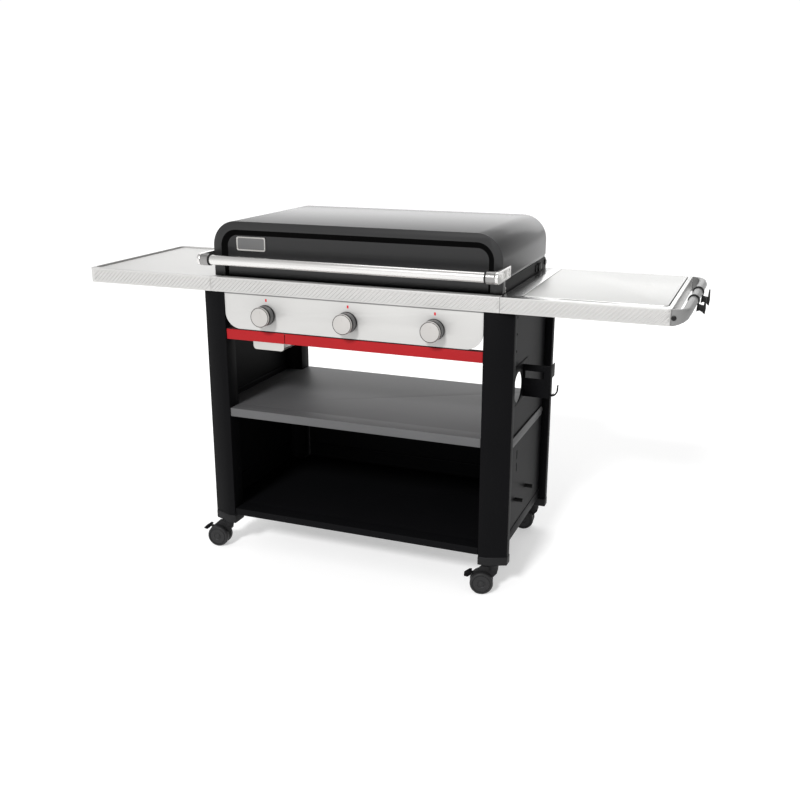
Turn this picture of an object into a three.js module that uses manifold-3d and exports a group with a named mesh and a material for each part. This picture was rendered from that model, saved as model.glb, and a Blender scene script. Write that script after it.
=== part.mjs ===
// Flat-top gas griddle on a four-caster cart: hinged lid, lift-off griddle plate, three push-and-turn
// burner knobs, pull-out grease drawer, two side tables, a rail with two sliding hooks, tank bracket.
// Millimetres, +X to the user's right, +Y to the back, +Z up. Local zero while building: cart centre
// line in X, front face of the work-surface rail in Y, floor in Z. The group is centred at the end.
import * as THREE from 'three';
import { mergeVertices } from 'three/addons/utils/BufferGeometryUtils.js';
import Module from 'manifold-3d';

const wasm = await Module();
wasm.setup();

// ---- driving dimensions ------------------------------------------------------------------------
const SHEET = 2;              // folded sheet steel, drawn a little heavier than the real 1.2 mm
const GAP = 0.3;              // clearance between pieces that touch on the real object

const RAIL_TOP = 941.5;       // top of the front rail and of the side tables
const RAIL_LOW = 895;
const CENTRE_HALF = 474.7;    // half length of the middle rail segment

const POST_INNER = 429;       // inner face of a post from the centre line
const POST_STRIP = 25;        // flat front strip
const POST_CANT = [61, 25.4]; // shallow canted face: across, back
const POST_OUTER = POST_INNER + POST_STRIP + POST_CANT[0];
const POST_DEPTH = 57;        // inner flange, front to back
const POST_SIDE = 54;         // back edge of the outer side strip
const POST_BOTTOM = 126.6;
const POST_TOP = 893.5;
const CART_FRONT = 1;
const CART_BACK = 582;

const PANEL_X = 490;          // outer face of a side panel
const SHELF = [481, 509];     // middle shelf, bottom of flange and top
const FLOOR_TRAY = [130, 153];

const LID_HALF = 474;
const LID_FRONT = 31;
const LID_BACK = 578;
const LID_TOP = 1115;
const LID_SIDE_LOW = 981;     // side edge, above the cookbox wall
const LID_APRON = 943.3;      // front face reaches almost to the rail
const LID_RADIUS = 80;
const HINGE = [560, 960];     // y, z of the lid pivot
const PLATE_HALF = 457;       // griddle plate, from the centre line
const PLATE_WALL = 975;       // top of its splash walls

const BAR = [-40, 1002];      // y, z of the lid handle
const BAR_R = 15;

const TABLE_LEFT = -945;
const TABLE_RIGHT = 950;
const TABLE_BACK = 560;
const TABLE_CORNER = 22;

const PANEL_FACE = [779, 891];
const TRIM = [742, 775];
const TRIM_SPLIT = -219.5;
const KNOBS = [-280, 0, 280];
const KNOB_Z = 831.5;
const KNOB_R = 32;
const KNOB_FRONT = -42;

const TUBE_R = 13.5;          // side rail tube
const TUBE = [986, 928];      // x, z of its long run
const HOOKS_Y = [226, 362];

const WHEEL_R = 36.5;
const TRAIL = 36;             // wheel centre behind the swivel
const CASTERS = [             // name, stem x, stem y, resting yaw in degrees (0 = trailing to +X)
  ['front_left', -472, 30, 186],
  ['front_right', 472, 30, 196],
  ['rear_left', -472, 553, 186],
  ['rear_right', 472, 553, 186],
];

// ---- helpers -----------------------------------------------------------------------------------
// A closed three.js geometry becomes a manifold solid.
function solid(geometry) {
  geometry.deleteAttribute('normal');
  geometry.deleteAttribute('uv');
  const g = mergeVertices(geometry, 1e-4);
  return new wasm.Manifold(new wasm.Mesh({
    numProp: 3,
    vertProperties: new Float32Array(g.attributes.position.array),
    triVerts: new Uint32Array(g.index.array),
  }));
}

function box(x0, x1, y0, y1, z0, z1) {
  return solid(new THREE.BoxGeometry(x1 - x0, y1 - y0, z1 - z0)
    .translate((x0 + x1) / 2, (y0 + y1) / 2, (z0 + z1) / 2));
}

const AXES = {
  x: [new THREE.Vector3(0, 1, 0), new THREE.Vector3(0, 0, 1), new THREE.Vector3(1, 0, 0)],
  y: [new THREE.Vector3(1, 0, 0), new THREE.Vector3(0, 0, 1), new THREE.Vector3(0, -1, 0)],
  z: [new THREE.Vector3(1, 0, 0), new THREE.Vector3(0, 1, 0), new THREE.Vector3(0, 0, 1)],
};

// An outline given in the plane across an axis, extruded along that axis from a to b.
// x: outline is (y, z); y: outline is (x, z); z: outline is (x, y).
function prism(axis, outline, a, b, holes = []) {
  const shape = new THREE.Shape(outline.map(([u, v]) => new THREE.Vector2(u, v)));
  shape.holes = holes.map((h) => new THREE.Path(h.map(([u, v]) => new THREE.Vector2(u, v))));
  const g = new THREE.ExtrudeGeometry(shape, { depth: b - a, bevelEnabled: false, curveSegments: 8 });
  g.applyMatrix4(new THREE.Matrix4().makeBasis(...AXES[axis]));
  if (axis === 'x') g.translate(a, 0, 0);
  if (axis === 'y') g.translate(0, b, 0);
  if (axis === 'z') g.translate(0, 0, a);
  return solid(g);
}

function arc(cu, cv, r, from, to, n) {
  const points = [];
  for (let i = 0; i <= n; i += 1) {
    const t = (from + ((to - from) * i) / n) * Math.PI / 180;
    points.push([cu + r * Math.cos(t), cv + r * Math.sin(t)]);
  }
  return points;
}

function circle(cu, cv, r, n = 24) {
  return arc(cu, cv, r, 0, 360 * (n - 1) / n, n - 1);
}

function rod(axis, cu, cv, r, a, b, n = 24) {
  return prism(axis, circle(cu, cv, r, n), a, b);
}

// A folded sheet: the outline of a polyline thickened to its left by t, with mitred corners.
function folded(points, t) {
  const inner = points.map(([u, v], i) => {
    const dirs = [];
    if (i > 0) dirs.push([u - points[i - 1][0], v - points[i - 1][1]]);
    if (i < points.length - 1) dirs.push([points[i + 1][0] - u, points[i + 1][1] - v]);
    const normals = dirs.map(([du, dv]) => {
      const l = Math.hypot(du, dv);
      return [-dv / l, du / l];
    });
    if (normals.length === 1) return [u + normals[0][0] * t, v + normals[0][1] * t];
    const su = normals[0][0] + normals[1][0];
    const sv = normals[0][1] + normals[1][1];
    const k = (2 * t) / (su * su + sv * sv);
    return [u + su * k, v + sv * k];
  });
  return [...points, ...inner.reverse()];
}

function mirrorX(manifold) {
  return manifold.mirror([1, 0, 0]);
}

// Cart-depth mirror: what is at the front goes to the back.
function mirrorY(manifold) {
  return manifold.mirror([0, 1, 0]).translate([0, CART_FRONT + CART_BACK, 0]);
}

const FINISH = {
  black: [0x17181a, 0.45, 0.3],
  blackSteel: [0x2a2b2d, 0.5, 0.6],
  silver: [0xbfc0c0, 0.4, 0.7],
  stainless: [0xc9c8c4, 0.3, 1.0],
  red: [0xa81f26, 0.4, 0.1],
  plastic: [0x4a4b4c, 0.7, 0.0],
  rubber: [0x232323, 0.9, 0.0],
  iron: [0x3a3633, 0.6, 0.9],
  brass: [0xb18d4a, 0.4, 1.0],
};

const group = new THREE.Group();
group.name = 'gas_griddle_cart';

function piece(name, manifold, finish) {
  const m = manifold.getMesh();
  const g = new THREE.BufferGeometry();
  g.setAttribute('position', new THREE.BufferAttribute(new Float32Array(m.vertProperties), 3));
  g.setIndex(new THREE.BufferAttribute(new Uint32Array(m.triVerts), 1));
  g.computeVertexNormals();
  const [color, roughness, metalness] = FINISH[finish];
  const mesh = new THREE.Mesh(g, new THREE.MeshStandardMaterial({ color, roughness, metalness }));
  mesh.name = name;
  group.add(mesh);
}

// ---- cart frame --------------------------------------------------------------------------------
const postLine = [
  [POST_INNER, POST_DEPTH],
  [POST_INNER, CART_FRONT],
  [POST_INNER + POST_STRIP, CART_FRONT],
  [POST_OUTER, CART_FRONT + POST_CANT[1]],
  [POST_OUTER, POST_SIDE],
  [PANEL_X + 1, POST_SIDE],
];
const capLine = [
  [POST_INNER - 1, POST_DEPTH + 1],
  [POST_INNER - 1, CART_FRONT - 1],
  [POST_INNER + POST_STRIP, CART_FRONT - 1],
  [POST_OUTER + 1, CART_FRONT + POST_CANT[1] - 1],
  [POST_OUTER + 1, POST_DEPTH + 1],
];
const post = prism('z', folded(postLine, SHEET), POST_BOTTOM, POST_TOP);
const cap = prism('z', capLine, 98.5, POST_BOTTOM - GAP)
  .subtract(rod('z', 472, 30, 9, 98, 112));
const corners = {
  front_right: (m) => m,
  front_left: mirrorX,
  rear_right: mirrorY,
  rear_left: (m) => mirrorX(mirrorY(m)),
};
for (const [corner, place] of Object.entries(corners)) {
  piece(`post_${corner}`, place(post), 'black');
  piece(`foot_cap_${corner}`, place(cap), 'plastic');
}

// Side panels: sheet with one outward bead under the shelf, two inward ledges and a bottom hem.
function sidePanel() {
  const sheet = prism('x', [[55, 130], [528, 130], [528, 893], [55, 893]], PANEL_X - SHEET, PANEL_X);
  const bead = prism('y', [[PANEL_X - 1, 478], [PANEL_X - 1, 445], [PANEL_X + 5, 453], [PANEL_X + 5, 470]]
    .reverse(), 60, 520);
  const hem = box(PANEL_X - 1, PANEL_X + 2, 55, 528, 130, 161);
  const ledges = [[517, 531], [206, 220]].map(([low, high]) => prism('y', [
    [PANEL_X - 1, low], [PANEL_X - 1, high], [PANEL_X - 7, high - 4], [PANEL_X - 7, low + 4],
  ], 62, 520));
  return sheet.add(bead).add(hem).add(ledges[0]).add(ledges[1]);
}
const hoseHole = rod('x', 182, 629, 50, PANEL_X - 5, PANEL_X + 5, 32);
const slots = [[385, 415], [343, 372]].map(([z0, z1]) => box(480, 500, 201, 205, z0, z1));
piece('side_panel_right', sidePanel().subtract(hoseHole).subtract(slots[0]).subtract(slots[1]), 'black');
piece('side_panel_left', mirrorX(sidePanel()), 'black');

// A tray that fits between the posts: notched at the four corners, flanges turned down.
function tray(low, high, y0, y1) {
  const f = SHEET + 1.6;
  const outline = (o) => {
    const narrow = POST_INNER - 1.4 - o;
    const wide = PANEL_X - SHEET - 1 - o;
    const a = POST_DEPTH + 1.6 + o;
    const b = CART_FRONT + CART_BACK - POST_DEPTH - 1.6 - o;
    return [
      [-narrow, y0 + o], [narrow, y0 + o], [narrow, a], [wide, a], [wide, b], [narrow, b],
      [narrow, y1 - o], [-narrow, y1 - o], [-narrow, b], [-wide, b], [-wide, a], [-narrow, a],
    ];
  };
  return prism('z', outline(0), low, high).subtract(prism('z', outline(f), low - 1, high - SHEET));
}
piece('middle_shelf', tray(SHELF[0], SHELF[1], 4, 580), 'blackSteel');
piece('floor_tray', tray(FLOOR_TRAY[0], FLOOR_TRAY[1], 4, 568), 'black');

const backSheet = box(-427, 427, 572, 574, 132, 478.5);
const backBeads = [[196, 208], [400, 412]].map(([low, high]) => prism('x', [
  [573, low], [573, high], [567, high - 3], [567, low + 3],
], -410, 410));
piece('back_panel', backSheet.add(backBeads[0]).add(backBeads[1]), 'black');

// ---- cookbox, burners and gas ------------------------------------------------------------------
// Stepped tub: a wide upper rim that carries the plate and the lid pivots, a narrower burner well.
const COOK_HALF = 470.5;
const WELL_HALF = 424;
const upper = box(-COOK_HALF, COOK_HALF, 60, 574, RAIL_LOW, 950);
const well = box(-WELL_HALF, WELL_HALF, 62, 520, 812, RAIL_LOW + 1);
const cheek = prism('x', [
  [60, RAIL_LOW], [574, RAIL_LOW], [577, 944], ...arc(HINGE[0], HINGE[1], 17, -10, 90, 8),
  [60, HINGE[1] + 17],
], COOK_HALF - 3, COOK_HALF).add(rod('x', 467, 957, 14, COOK_HALF - 1, 478.5, 20));
let cookbox = upper.add(well)
  .subtract(box(-COOK_HALF + 3, COOK_HALF - 3, 62, 572, RAIL_LOW + 2, 1000))
  .subtract(box(-WELL_HALF + 2, WELL_HALF - 2, 64, 518, 814, 1000))
  .subtract(box(-COOK_HALF + 3, COOK_HALF - 3, 560, 580, 925, 1000))
  .add(cheek).add(mirrorX(cheek));
for (const side of [-1, 1]) {
  cookbox = cookbox.subtract(rod('x', HINGE[0], HINGE[1], 5.3, side * 469 - 4, side * 469 + 4));
}
cookbox = cookbox.subtract(box(-325, -251, 84, 140, 800, 820));
for (const x of KNOBS) {
  cookbox = cookbox.subtract(rod('y', x, KNOB_Z, 9, 55, 70));
}
cookbox = cookbox.subtract(rod('x', 90, 862, 9, 415, 430));
piece('cookbox', cookbox, 'blackSteel');

for (const [i, x] of KNOBS.entries()) {
  piece(`burner_${i + 1}`, box(x - 24, x + 24, 118, 500, 866, 892)
    .add(box(x - 10, x + 10, 100, 119, 862, 880)), 'stainless');
}

// Manifold pipe behind the control panel with a valve body at each knob and the hose inlet elbow.
let manifoldPipe = rod('x', 90, 862, 8, -300, 452, 16).subtract(rod('x', 90, 862, 5, 430, 460, 12));
for (const x of KNOBS) {
  manifoldPipe = manifoldPipe
    .add(rod('z', x, 90, 7, 838, 862, 16))
    .add(rod('y', x, KNOB_Z, 13, 74, 97, 20))
    .subtract(rod('y', x, KNOB_Z, 6.6, 73, 88, 24));
}
piece('gas_manifold', manifoldPipe, 'brass');

// ---- front rail, control panel, red trim --------------------------------------------------------
piece('front_rail_centre', prism('x', folded([
  [14, RAIL_LOW], [0, RAIL_LOW], [0, RAIL_TOP], [29, RAIL_TOP],
].reverse(), SHEET), -CENTRE_HALF, CENTRE_HALF), 'silver');

function panelOutline() {
  const h = POST_INNER - 1;
  const [z0, z1] = PANEL_FACE;
  return [
    [h, z1], [-h, z1], ...arc(-h + 52, z0 + 52, 52, 180, 270, 8), ...arc(h - 52, z0 + 52, 52, 270, 360, 8),
  ];
}
let controlPanel = prism('y', panelOutline(), 4, 7)
  .add(box(-POST_INNER + 1, POST_INNER - 1, 6, 58, PANEL_FACE[1] - 2, PANEL_FACE[1]));
for (const x of KNOBS) {
  controlPanel = controlPanel.subtract(rod('y', x, KNOB_Z, 9, 0, 10));
}
piece('control_panel', controlPanel, 'silver');

piece('red_trim', prism('x', folded([
  [40, TRIM[0]], [5, TRIM[0]], [5, TRIM[1]], [30, TRIM[1]],
].reverse(), SHEET), TRIM_SPLIT + 1, POST_INNER - 1), 'red');

// Grease drawer: red front, stainless pan behind it, sliding in a U-shaped cradle.
const DRAWER_X = [-POST_INNER + 1, TRIM_SPLIT - 1];
piece('drawer_front', prism('x', folded([
  [24, TRIM[0]], [5, TRIM[0]], [5, TRIM[1]], [24, TRIM[1]],
].reverse(), SHEET), DRAWER_X[0], DRAWER_X[1]), 'red');

const PAN = { x0: -343, x1: -233, y0: 24.3, y1: 250, z0: 712, z1: 778 };
function panOutline(o) {
  const r = 12 - o;
  const [x0, x1, z0] = [PAN.x0 + o, PAN.x1 - o, PAN.z0 + o];
  return [
    [x1, PAN.z1 + 2 * o], [x0, PAN.z1 + 2 * o],
    ...arc(x0 + r, z0 + r, r, 180, 270, 5), ...arc(x1 - r, z0 + r, r, 270, 360, 5),
  ];
}
piece('grease_pan', prism('y', panOutline(0), PAN.y0, PAN.y1)
  .subtract(prism('y', panOutline(1.5), PAN.y0 + 1.5, PAN.y1 - 1.5))
  .add(box(PAN.x0 - 7, PAN.x0 + 1, PAN.y0, PAN.y1, PAN.z1 - 1.5, PAN.z1))
  .add(box(PAN.x1 - 1, PAN.x1 + 7, PAN.y0, PAN.y1, PAN.z1 - 1.5, PAN.z1)), 'stainless');
const CRADLE = { x0: PAN.x0 - 12, x1: PAN.x1 + 12, y0: 64, y1: 262, z0: PAN.z1 - 3.2, z1: 811.6 };
piece('drawer_cradle', box(CRADLE.x0, CRADLE.x1, CRADLE.y0, CRADLE.y1, CRADLE.z1 - 1.5, CRADLE.z1)
  .subtract(box(-325, -251, 84, 140, 800, 820))
  .add(box(CRADLE.x0, CRADLE.x0 + 1.5, CRADLE.y0, CRADLE.y1, CRADLE.z0, CRADLE.z1))
  .add(box(CRADLE.x1 - 1.5, CRADLE.x1, CRADLE.y0, CRADLE.y1, CRADLE.z0, CRADLE.z1))
  .add(box(CRADLE.x0, PAN.x0 - GAP, CRADLE.y0, CRADLE.y1, CRADLE.z0, CRADLE.z0 + 1.4))
  .add(box(PAN.x1 + GAP, CRADLE.x1, CRADLE.y0, CRADLE.y1, CRADLE.z0, CRADLE.z0 + 1.4)), 'blackSteel');

// ---- side tables -------------------------------------------------------------------------------
// Pressed table top: rim, recessed surface, hollow underneath. side is -1 left, 1 right.
function roundedTable(x0, x1, y0, y1, rLeft, rRight) {
  return [
    ...(rLeft ? arc(x0 + rLeft, y0 + rLeft, rLeft, 180, 270, 6) : [[x0, y0]]),
    ...(rRight ? arc(x1 - rRight, y0 + rRight, rRight, 270, 360, 6) : [[x1, y0]]),
    ...(rRight ? arc(x1 - rRight, y1 - rRight, rRight, 0, 90, 6) : [[x1, y1]]),
    ...(rLeft ? arc(x0 + rLeft, y1 - rLeft, rLeft, 90, 180, 6) : [[x0, y1]]),
  ];
}
const tableLeft = prism('z', roundedTable(TABLE_LEFT, -CENTRE_HALF - 0.8, 0, TABLE_BACK, TABLE_CORNER, 0),
  RAIL_LOW, RAIL_TOP)
  .subtract(prism('z', roundedTable(TABLE_LEFT + 3, -CENTRE_HALF - 3, 26, TABLE_BACK - 3, 19, 0),
    RAIL_TOP - 5, RAIL_TOP + 1))
  .subtract(prism('z', roundedTable(TABLE_LEFT + 3, -CENTRE_HALF - 4, 3, TABLE_BACK - 3, 19, 0),
    RAIL_LOW - 1, RAIL_TOP - 8));
piece('table_left', tableLeft, 'silver');

const BOARD = { x0: 532, x1: 937, y0: 40, y1: 551 };
const boardOutline = (o) => roundedTable(BOARD.x0 + o, BOARD.x1 - o, BOARD.y0 + o, BOARD.y1 - o, 6 - o, 14 - o);
const fingerDip = [[640, 30], [806, 30], [790, 41], [656, 41]];
const tableRight = prism('z', roundedTable(CENTRE_HALF + 0.8, TABLE_RIGHT, 0, TABLE_BACK, 0, 8),
  RAIL_LOW, RAIL_TOP)
  .subtract(prism('z', boardOutline(-1.5), RAIL_TOP - 6, RAIL_TOP + 1))
  .subtract(prism('z', fingerDip, RAIL_TOP - 6, RAIL_TOP + 1))
  .subtract(prism('z', roundedTable(CENTRE_HALF + 4, TABLE_RIGHT - 3, 3, TABLE_BACK - 3, 0, 6),
    RAIL_LOW - 1, RAIL_TOP - 9));
piece('table_right', tableRight, 'silver');
piece('prep_board', prism('z', boardOutline(0), RAIL_TOP - 5.7, RAIL_TOP + 1), 'stainless');

// Side rail: two tapering flat arms off the table corners that turn into one round tube.
const RING = 16;
const RAIL_SECTIONS = [       // centre x, centre y, heading in degrees, half height, half thickness
  [950.3, 5, 0, 23, 4], [958, 5.6, 8, 22.5, 4.6], [968, 9, 28, 21, 6], [977, 18, 50, 19, 8.5],
  [983, 34, 70, 16.5, 11.5], [986, 60, 88, 13.8, 13.2], [986, 96, 90, TUBE_R, TUBE_R],
];

function railRing([cx, cy, heading, h, w]) {
  const t = heading * Math.PI / 180;
  const roundness = Math.min(1, (23 - h) / 9.5);
  const points = [];
  for (let i = 0; i < RING; i += 1) {
    const a = (i / RING) * 2 * Math.PI;
    const [ca, sa] = [Math.cos(a), Math.sin(a)];
    const grow = 1 + (1 - roundness) * (1 / Math.max(Math.abs(ca), Math.abs(sa)) - 1);
    points.push([
      cx + ca * grow * w * Math.sin(t), cy - ca * grow * w * Math.cos(t), RAIL_TOP - 0.2 - h + sa * grow * h,
    ]);
  }
  return points;
}

function sideRail() {
  const rings = [
    ...RAIL_SECTIONS.map(railRing),
    ...[...RAIL_SECTIONS].reverse().map(([cx, cy, heading, h, w]) => (
      railRing([cx, TABLE_BACK - cy, 180 - heading, h, w])
    )),
  ];
  const index = [];
  for (let r = 0; r < rings.length - 1; r += 1) {
    for (let i = 0; i < RING; i += 1) {
      const [a, b] = [r * RING + i, r * RING + ((i + 1) % RING)];
      index.push(a, a + RING, b, b, a + RING, b + RING);
    }
  }
  const last = (rings.length - 1) * RING;
  for (let i = 1; i < RING - 1; i += 1) {
    index.push(0, i, i + 1, last, last + i + 1, last + i);
  }
  const g = new THREE.BufferGeometry();
  g.setAttribute('position', new THREE.Float32BufferAttribute(rings.flat(2), 3));
  g.setIndex(index);
  return solid(g);
}
piece('side_rail', sideRail(), 'silver');

// Hook: an open ring snapped round the tube, a lug below its outer side and an up-turned prong.
const hookRing = [
  ...arc(TUBE[0], TUBE[1], 17, -50, 200, 18), ...arc(TUBE[0], TUBE[1], 13.9, 200, -50, 16),
];
const hookLug = [
  [997.5, 920], [996, 911], [995, 896], [1003, 900], [1012, 896], [1019, 889], [1021, 905], [1020, 938],
  [1016.5, 938], [1014.5, 915], [1004, 917],
];
for (const [i, y] of HOOKS_Y.entries()) {
  piece(`hook_${i + 1}`, prism('y', hookRing, y - 6, y + 6).add(prism('y', hookLug, y - 5, y + 5)), 'rubber');
}

// ---- tank bracket and bumper pegs on the right side --------------------------------------------
const BRACKET = { y: 235, x0: PANEL_X + 2.3, x1: 580.5, z0: 586, z1: 690 };
const bracketFace = box(BRACKET.x0 - 1.5, BRACKET.x1, BRACKET.y, BRACKET.y + 2.5, BRACKET.z0, BRACKET.z1)
  .subtract(box(500, 558, BRACKET.y - 2, BRACKET.y + 5, 646, 669));
const bracketEnd = box(BRACKET.x1 - 2.5, BRACKET.x1, BRACKET.y + 1, BRACKET.y + 54, BRACKET.z0, BRACKET.z1)
  .subtract(box(570, 590, BRACKET.y + 24, BRACKET.y + 56, 590, 648));
const bracketBase = box(BRACKET.x0 - 2, BRACKET.x0, 126, BRACKET.y + 60, 574, 700)
  .subtract(rod('x', 182, 629, 48, 480, 500, 32));
const bracketHook = prism('y', [
  [579, 592], [590, 592], [598, 601], [602, 612], [599, 613], [594, 603], [588, 596], [579, 596],
], BRACKET.y + 8, BRACKET.y + 20);
piece('tank_bracket', bracketFace.add(bracketEnd).add(bracketBase).add(bracketHook), 'black');

for (const [i, y] of [201, 332].entries()) {
  piece(`tank_peg_${i + 1}`, rod('x', y, 248.5, 6.5, PANEL_X + GAP, PANEL_X + 26, 16), 'rubber');
}

// ---- lid ---------------------------------------------------------------------------------------
function archOutline(half, top, low, r) {
  return [
    [-half, low], [half, low],
    ...arc(half - r, top - r, r, 0, 90, 10), ...arc(-half + r, top - r, r, 90, 180, 10),
  ];
}
let lid = prism('y', archOutline(LID_HALF, LID_TOP, LID_APRON, LID_RADIUS), LID_FRONT, LID_BACK)
  .subtract(prism('y', archOutline(LID_HALF - 2.5, LID_TOP - 2.5, LID_APRON - 1, LID_RADIUS - 2.5),
    LID_FRONT + 12.5, LID_BACK - 2.5))
  .subtract(prism('y', archOutline(LID_HALF - 28, LID_TOP - 28, LID_APRON - 1, LID_RADIUS - 28),
    LID_FRONT - 1, LID_FRONT + 9))
  .subtract(prism('x', [
    [60, LID_APRON - 1], [600, LID_APRON - 1], [600, 1000], [576, 994], [514, LID_SIDE_LOW],
    [60, LID_SIDE_LOW],
  ], -500, 500));
for (const side of [-1, 1]) {
  const ear = prism('x', [
    ...arc(HINGE[0], HINGE[1], 14, 180, 330, 10), [577, 975], [577, 1012], [546, 1012],
  ], side * 464 - 1.8, side * 464 + 1.8).subtract(rod('x', HINGE[0], HINGE[1], 5.35, side * 464 - 4, side * 464 + 4));
  lid = lid.add(ear);
}
piece('lid_shell', lid, 'black');
piece('lid_badge', prism('y', [
  ...arc(-389, 1030, 6.5, 180, 270, 4), ...arc(-300, 1030, 6.5, 270, 360, 4),
  ...arc(-300, 1060.5, 6.5, 0, 90, 4), ...arc(-389, 1060.5, 6.5, 90, 180, 4),
], LID_FRONT + 5.6, LID_FRONT + 9 - GAP), 'stainless');

const barProfile = [
  [0, -473.8], [18, -473.8], [18, -446], [BAR_R, -445], [BAR_R, 445], [18, 446], [18, 473.8], [0, 473.8],
];
piece('lid_handle_bar', solid(new THREE.LatheGeometry(
  barProfile.map(([r, x]) => new THREE.Vector2(r, x)), 24,
).rotateZ(-Math.PI / 2).translate(0, BAR[0], BAR[1])), 'stainless');
for (const [name, side] of [['left', -1], ['right', 1]]) {
  const plate = prism('x', [
    ...arc(BAR[0], BAR[1], 18, 90, 270, 12), [78, BAR[1] - 16], [82, BAR[1] - 12], [82, BAR[1] + 14],
    [78, BAR[1] + 18],
  ], 474.3, 484);
  const cut = (y) => prism('x', [
    ...arc(y, BAR[1] + 5, 3.2, 0, 180, 6), ...arc(y, BAR[1] - 5, 3.2, 180, 360, 6),
  ], 479, 490);
  const bracket = plate.subtract(cut(8)).subtract(cut(62));
  piece(`handle_bracket_${name}`, side > 0 ? bracket : mirrorX(bracket), 'stainless');
  const pin = rod('x', HINGE[0], HINGE[1], 5.25, 459, 471.5, 16)
    .add(rod('x', HINGE[0], HINGE[1], 9, COOK_HALF + GAP, 475, 20))
    .add(rod('x', HINGE[0], HINGE[1], 8, 458, 461.6, 20));
  piece(`hinge_pin_${name}`, side > 0 ? pin : mirrorX(pin), 'blackSteel');
}

// ---- griddle plate -----------------------------------------------------------------------------
// Thick steel plate with a low splash wall on three sides, a grease slot and hanging side feet.
let plate = box(-PLATE_HALF, PLATE_HALF, 66, 553, 951, 957)
  .add(box(-PLATE_HALF, -PLATE_HALF + 4, 66, 553, 956, PLATE_WALL))
  .add(box(PLATE_HALF - 4, PLATE_HALF, 66, 553, 956, PLATE_WALL))
  .add(box(-PLATE_HALF, PLATE_HALF, 549, 553, 956, PLATE_WALL))
  .add(box(-PLATE_HALF, PLATE_HALF, 66, 70, 956, 972));
for (const x of [-440, 440]) {
  plate = plate.add(box(x - 5, x + 5, 70, 545, RAIL_LOW + 2 + GAP, 952));
}
plate = plate.subtract(box(-318, -258, 74, 92, 940, 960));
piece('griddle_plate', plate, 'iron');

// ---- knobs and stems ---------------------------------------------------------------------------
// The knob slides 3.5 mm on its stem to light the burner, then turns with it.
const knobProfile = [
  [0, KNOB_FRONT], [KNOB_R - 2, KNOB_FRONT], [KNOB_R, KNOB_FRONT + 2], [KNOB_R, -35],
  [KNOB_R - 1.8, -35], [KNOB_R - 1.8, -29], [KNOB_R - 0.5, -29], [KNOB_R - 0.5, -6],
  [KNOB_R, -6], [KNOB_R, -1], [0, -1],
];
const knobBody = solid(new THREE.LatheGeometry(
  knobProfile.map(([r, y]) => new THREE.Vector2(r, y)), 32,
)).subtract(rod('y', 0, 0, 4.3, -18, 1, 16));
for (const [i, x] of KNOBS.entries()) {
  piece(`knob_${i + 1}`, knobBody.translate([x, 0, KNOB_Z]), 'silver');
  piece(`valve_stem_${i + 1}`, rod('y', x, KNOB_Z, 4.2, -11.5, 60, 16)
    .add(rod('y', x, KNOB_Z, 6.2, 59, 87.5, 16)), 'brass');
}

// ---- casters -----------------------------------------------------------------------------------
// Twin-wheel caster, trailing along +X from its stem: hood plate between two joined wheels, a
// conical neck that turns under the foot cap, and a pedal on a pin that presses down to brake.
const AXLE = [TRAIL, WHEEL_R];
const PEDAL_PIN = [TRAIL + 34, WHEEL_R + 30];
const hoodPlate = prism('y', [
  [-16, 90], [-12, 66], ...arc(AXLE[0], AXLE[1], 34, 160, 380, 14), ...arc(AXLE[0], AXLE[1], 38, 26, 48, 2),
  [34, 90],
], -7, 7)
  .add(prism('y', [[PEDAL_PIN[0] - 12, PEDAL_PIN[1] + 1], [PEDAL_PIN[0] - 8, PEDAL_PIN[1] - 8],
    ...arc(PEDAL_PIN[0], PEDAL_PIN[1], 3.6, -90, 90, 6)], -3, 3))
  .add(rod('y', PEDAL_PIN[0], PEDAL_PIN[1], 1.8, -8, 8, 10));
const neck = solid(new THREE.LatheGeometry(
  [[0, 76], [15, 76], [16, 88], [21, 98.2], [8.6, 98.2], [8.6, 111], [0, 111]]
    .map(([r, z]) => new THREE.Vector2(r, z)), 20,
).rotateX(Math.PI / 2));
const casterHood = hoodPlate.add(neck).subtract(rod('y', AXLE[0], AXLE[1], 5.4, -10, 10, 20));
const casterWheel = rod('y', AXLE[0], AXLE[1], WHEEL_R, 7.4, 25, 32)
  .add(rod('y', AXLE[0], AXLE[1], WHEEL_R, -25, -7.4, 32))
  .add(rod('y', AXLE[0], AXLE[1], 5.3, -8, 8, 20));
const casterPedal = prism('y', [
  [PEDAL_PIN[0] - 4, PEDAL_PIN[1] + 5], [PEDAL_PIN[0] + 3, PEDAL_PIN[1] + 6],
  [PEDAL_PIN[0] + 21, PEDAL_PIN[1] - 7], [PEDAL_PIN[0] + 20, PEDAL_PIN[1] - 11],
  [PEDAL_PIN[0] + 10, PEDAL_PIN[1] - 13], [PEDAL_PIN[0] + 4, PEDAL_PIN[1] - 9],
  [PEDAL_PIN[0] - 1, PEDAL_PIN[1] - 5],
].reverse(), -12, 12)
  .subtract(box(PEDAL_PIN[0] - 30, PEDAL_PIN[0] + 6, -3.5, 3.5, 40, 90))
  .subtract(rod('y', PEDAL_PIN[0], PEDAL_PIN[1], 2, -14, 14, 12));
for (const [corner, sx, sy, yaw] of CASTERS) {
  const place = (m) => m.rotate([0, 0, yaw]).translate([sx, sy, 0]);
  piece(`caster_hood_${corner}`, place(casterHood), 'plastic');
  piece(`caster_wheel_${corner}`, place(casterWheel), 'rubber');
  piece(`caster_brake_${corner}`, place(casterPedal), 'plastic');
}

// ---- centre the footprint on the origin ---------------------------------------------------------
const centre = new THREE.Box3().setFromObject(group).getCenter(new THREE.Vector3());
for (const mesh of group.children) {
  mesh.geometry.translate(-centre.x, -centre.y, 0);
}

export default group;
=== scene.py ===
import math

import bpy
from mathutils import Matrix, Vector


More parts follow.
